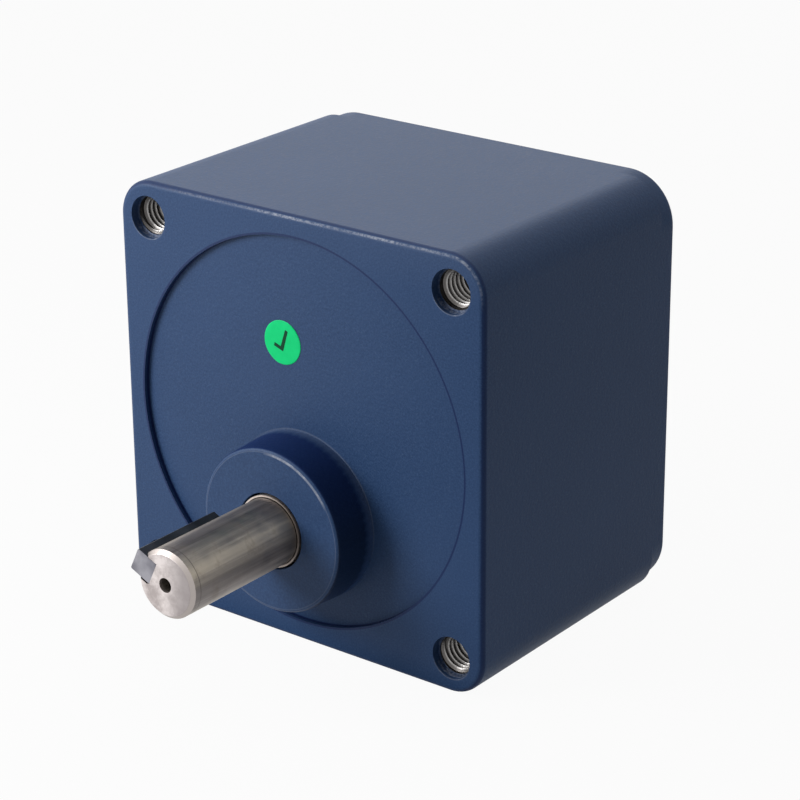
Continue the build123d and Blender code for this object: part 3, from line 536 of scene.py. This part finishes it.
def thread_ridge(centre_x, centre_z, start_angle):
    """The ridge of a female thread: a closed four-sided bar wound inside the hole's wall."""
    form = bmesh.new()
    steps_per_turn = 40
    fade_steps = 12
    lead_in = 0.45
    root = THREAD_RADIUS + 0.02
    half_root = 7 / 16 * THREAD_PITCH
    half_crest = THREAD_PITCH / 12
    count = int((THREAD_DEPTH / THREAD_PITCH - 1) * steps_per_turn)
    rows = []
    for step in range(count + 1):
        angle = start_angle + tau * step / steps_per_turn
        depth = MOUTH_DEPTH + THREAD_PITCH * (lead_in + step / steps_per_turn)
        fade = max(min(1.0, step / fade_steps, (count - step) / fade_steps), 0.02)
        crest = THREAD_RADIUS - (THREAD_RADIUS - THREAD_CORE) * fade
        outline = ((-half_root, root), (-half_crest, crest), (half_crest, crest), (half_root, root))
        row = []
        for shift, radius in outline:
            point = Vector((centre_x + radius * cos(angle), depth + shift, centre_z + radius * sin(angle)))
            row.append(form.verts.new(point * MM))
        rows.append(row)
    for first, second in zip(rows, rows[1:]):
        for i in range(4):
            j = (i + 1) % 4
            form.faces.new((first[i], first[j], second[j], second[i]))
    form.faces.new(rows[0])
    form.faces.new(reversed(rows[-1]))
    return form


def label_point(u, v, height):
    """A point on the label, turned as it was stuck on, at a height above the recess floor."""
    x = u * cos(LABEL_TURN) - v * sin(LABEL_TURN)
    z = u * sin(LABEL_TURN) + v * cos(LABEL_TURN)
    return Vector((LABEL_CENTRE[0] + x, RECESS_DEPTH - height, LABEL_CENTRE[1] + z)) * MM


def label_disc():
    """A thin round sticker with a soft edge, its rim lifted a hair here and there."""
    form = bmesh.new()
    sides = 96
    rim_lift = 0.25

    # Shares of the radius and of the thickness, from the flat top to the foot of the edge
    profile = [(0.6, 1.0), (0.85, 1.0), (0.96, 1.0), (0.99, 0.85), (1.0, 0.5), (1.0, 0.0)]
    rings = []
    for share, height in profile:
        ring = []
        for i in range(sides):
            angle = tau * i / sides
            lift = 1 + rim_lift * share**6 * (sin(3 * angle + 1) + sin(5 * angle))
            u = LABEL_RADIUS * share * cos(angle)
            v = LABEL_RADIUS * share * sin(angle)
            ring.append(form.verts.new(label_point(u, v, LABEL_THICKNESS * height * lift)))
        rings.append(ring)
    middle = form.verts.new(label_point(0, 0, LABEL_THICKNESS))
    for i in range(sides):
        j = (i + 1) % sides
        form.faces.new((middle, rings[0][i], rings[0][j]))
        for inner, outer in zip(rings, rings[1:]):
            form.faces.new((inner[i], outer[i], outer[j], inner[j]))
    form.faces.new(rings[-1])
    return form


def label_tick():
    """A plain tick printed on the sticker."""
    form = bmesh.new()
    proud, sunk = 0.03, 0.02
    outline = [(-2.35, 0.1), (-1.85, 0.65), (-0.75, -0.55), (1.95, 2.15), (2.45, 1.6), (-0.7, -1.65)]
    top = [form.verts.new(label_point(u, v, LABEL_THICKNESS + proud)) for u, v in outline]
    bottom = [form.verts.new(label_point(u, v, LABEL_THICKNESS - sunk)) for u, v in outline]
    form.faces.new(top)
    form.faces.new(reversed(bottom))
    for i in range(len(outline)):
        j = (i + 1) % len(outline)
        form.faces.new((top[j], top[i], bottom[i], bottom[j]))
    bmesh.ops.triangulate(form, faces=form.faces)
    return form


def dress(names, material):
    """Give CAD pieces a material in place of what they came with."""
    for name in names:
        mesh = nodes[name].data
        mesh.materials.clear()
        mesh.materials.append(material)


def make_world():
    """White to the eye, with a weak light from all sides."""
    world = bpy.data.worlds.new("studio")
    world.use_nodes = True
    bpy.context.scene.world = world
    n = Nodes(world.node_tree)
    strength = n.math("ADD", n.times(n.seen_directly(), 1.0 - WORLD_LIGHT), WORLD_LIGHT)
    background = n.add("ShaderNodeBackground", {"Color": WHITE, "Strength": strength})
    n.add("ShaderNodeOutputWorld", {"Surface": background.outputs[0]})


def make_floor():
    """A floor that is white to the eye, with the object's shadow left in it."""
    material, n = new_material("floor")
    plain = n.add("ShaderNodeBsdfDiffuse", {"Color": FLOOR_GREY})
    white = n.add("ShaderNodeEmission", {"Color": WHITE, "Strength": 1.0})
    share = n.times(n.seen_directly(), FLOOR_WHITE)
    mixed = n.add("ShaderNodeMixShader", {0: share, 1: plain.outputs[0], 2: white.outputs[0]})
    n.finish(mixed.outputs[0])
    form = bmesh.new()
    bmesh.ops.create_grid(form, x_segments=8, y_segments=8, size=4.0)
    floor = add_object("floor", form, material)
    floor.location = (0, 0, FLOOR_LEVEL * MM)


place_camera()

# Soft boxes: a small key light before the left side, a wide one overhead, a wide one behind on the left
area_light("key", (-0.22, -0.26, 0.18), (0, 0.0, 0.02), (0.2, 0.2), 1.3)
area_light("top", (-0.15, 0.1, 1.0), (0, 0.03, 0.05), (1.0, 1.0), 3.0)
area_light("back", (-0.95, 1.05, 0.62), (0, 0.03, 0.05), (1.2, 0.6), 2.55)
make_world()
make_floor()

# CAD pieces of each slot
slot_nodes = {}
for entry in frame["record"]["subparts"]:
    slot_nodes.setdefault(entry["material_slot"], []).append(entry["node"])

# Light and dark tone, grain per metre, lowest and highest roughness, metallic, strength of the bump
recipes = {
    "bearing_steel": (srgb(215, 215, 214), srgb(180, 180, 180), 900, (0.08, 0.2), 1.0),
    "gear_steel": (srgb(170, 171, 173), srgb(120, 121, 123), 900, (0.25, 0.42), 1.0),
    "black_oxide": (srgb(58, 60, 64), srgb(34, 36, 39), 700, (0.32, 0.5), 0.6),
    "zinc_screws": (srgb(205, 206, 207), srgb(165, 166, 168), 800, (0.2, 0.35), 1.0),
    "cast_aluminium": (srgb(200, 202, 204), srgb(160, 162, 165), 500, (0.4, 0.6), 1.0),
    "spacer_steel": (srgb(190, 190, 190), srgb(150, 150, 150), 800, (0.25, 0.4), 1.0),
    "bronze": (srgb(200, 160, 105), srgb(150, 110, 66), 1200, (0.35, 0.5), 1.0),
    "magnet": (srgb(130, 131, 134), srgb(96, 97, 100), 600, (0.25, 0.4), 1.0),
    "rubber": (srgb(40, 40, 42), srgb(24, 24, 26), 900, (0.6, 0.8)),
    "insulator": (srgb(236, 233, 222), srgb(212, 208, 194), 500, (0.45, 0.6)),
    "board": (srgb(24, 110, 62), srgb(14, 80, 44), 500, (0.25, 0.4)),
    "chip": (srgb(48, 48, 50), srgb(30, 30, 32), 900, (0.4, 0.6)),
    "gland_plastic": (srgb(52, 53, 55), srgb(34, 35, 37), 1300, (0.45, 0.6), 0.0, 0.3),
}
finishes = {name: grained(name, *recipe) for name, recipe in recipes.items()}
finishes["painted_case"] = painted_case()
finishes["ground_steel"] = turned_metal("ground_steel", srgb(186, 182, 176), srgb(112, 102, 92))
finishes["lamination"] = layered("lamination", srgb(130, 132, 136), srgb(70, 72, 76), 0.5, (0.35, 0.5))
finishes["copper"] = layered("copper", srgb(206, 120, 70), srgb(120, 56, 28), 0.7, (0.25, 0.4))
for slot_name, names in slot_nodes.items():
    dress(names, finishes[slot_name])
dress(["output_shaft"], shaft_steel())
dress(["output_key"], key_steel())

# Threads of the four mounting holes, each starting at its own angle
thread_metal = thread_steel()
for index, (side_x, side_z) in enumerate(((-1, -1), (1, -1), (-1, 1), (1, 1))):
    hole_x = side_x * MOUNT_HALF_PITCH
    hole_z = BLOCK_CENTRE_Z + side_z * MOUNT_HALF_PITCH
    ridge = thread_ridge(hole_x, hole_z, 1.3 * index + 0.4)
    add_piece(f"mount_thread_{index + 1}", ridge, thread_metal, smooth=False)

# Inspection label: a green sticker with a plain tick, both with little sheen
light_green, dark_green = srgb(24, 226, 136), srgb(14, 214, 126)
label_green = grained("label_green", light_green, dark_green, 500, (0.35, 0.45), 0.0, 0.1, 0.05, 0.12)
label_ink = grained("label_ink", srgb(16, 74, 50), srgb(12, 62, 42), 900, (0.4, 0.5), sheen=0.12)
add_piece("label", label_disc(), label_green)
add_piece("label_tick", label_tick(), label_ink, smooth=False)

bpy.context.scene.view_settings.view_transform = "Standard"
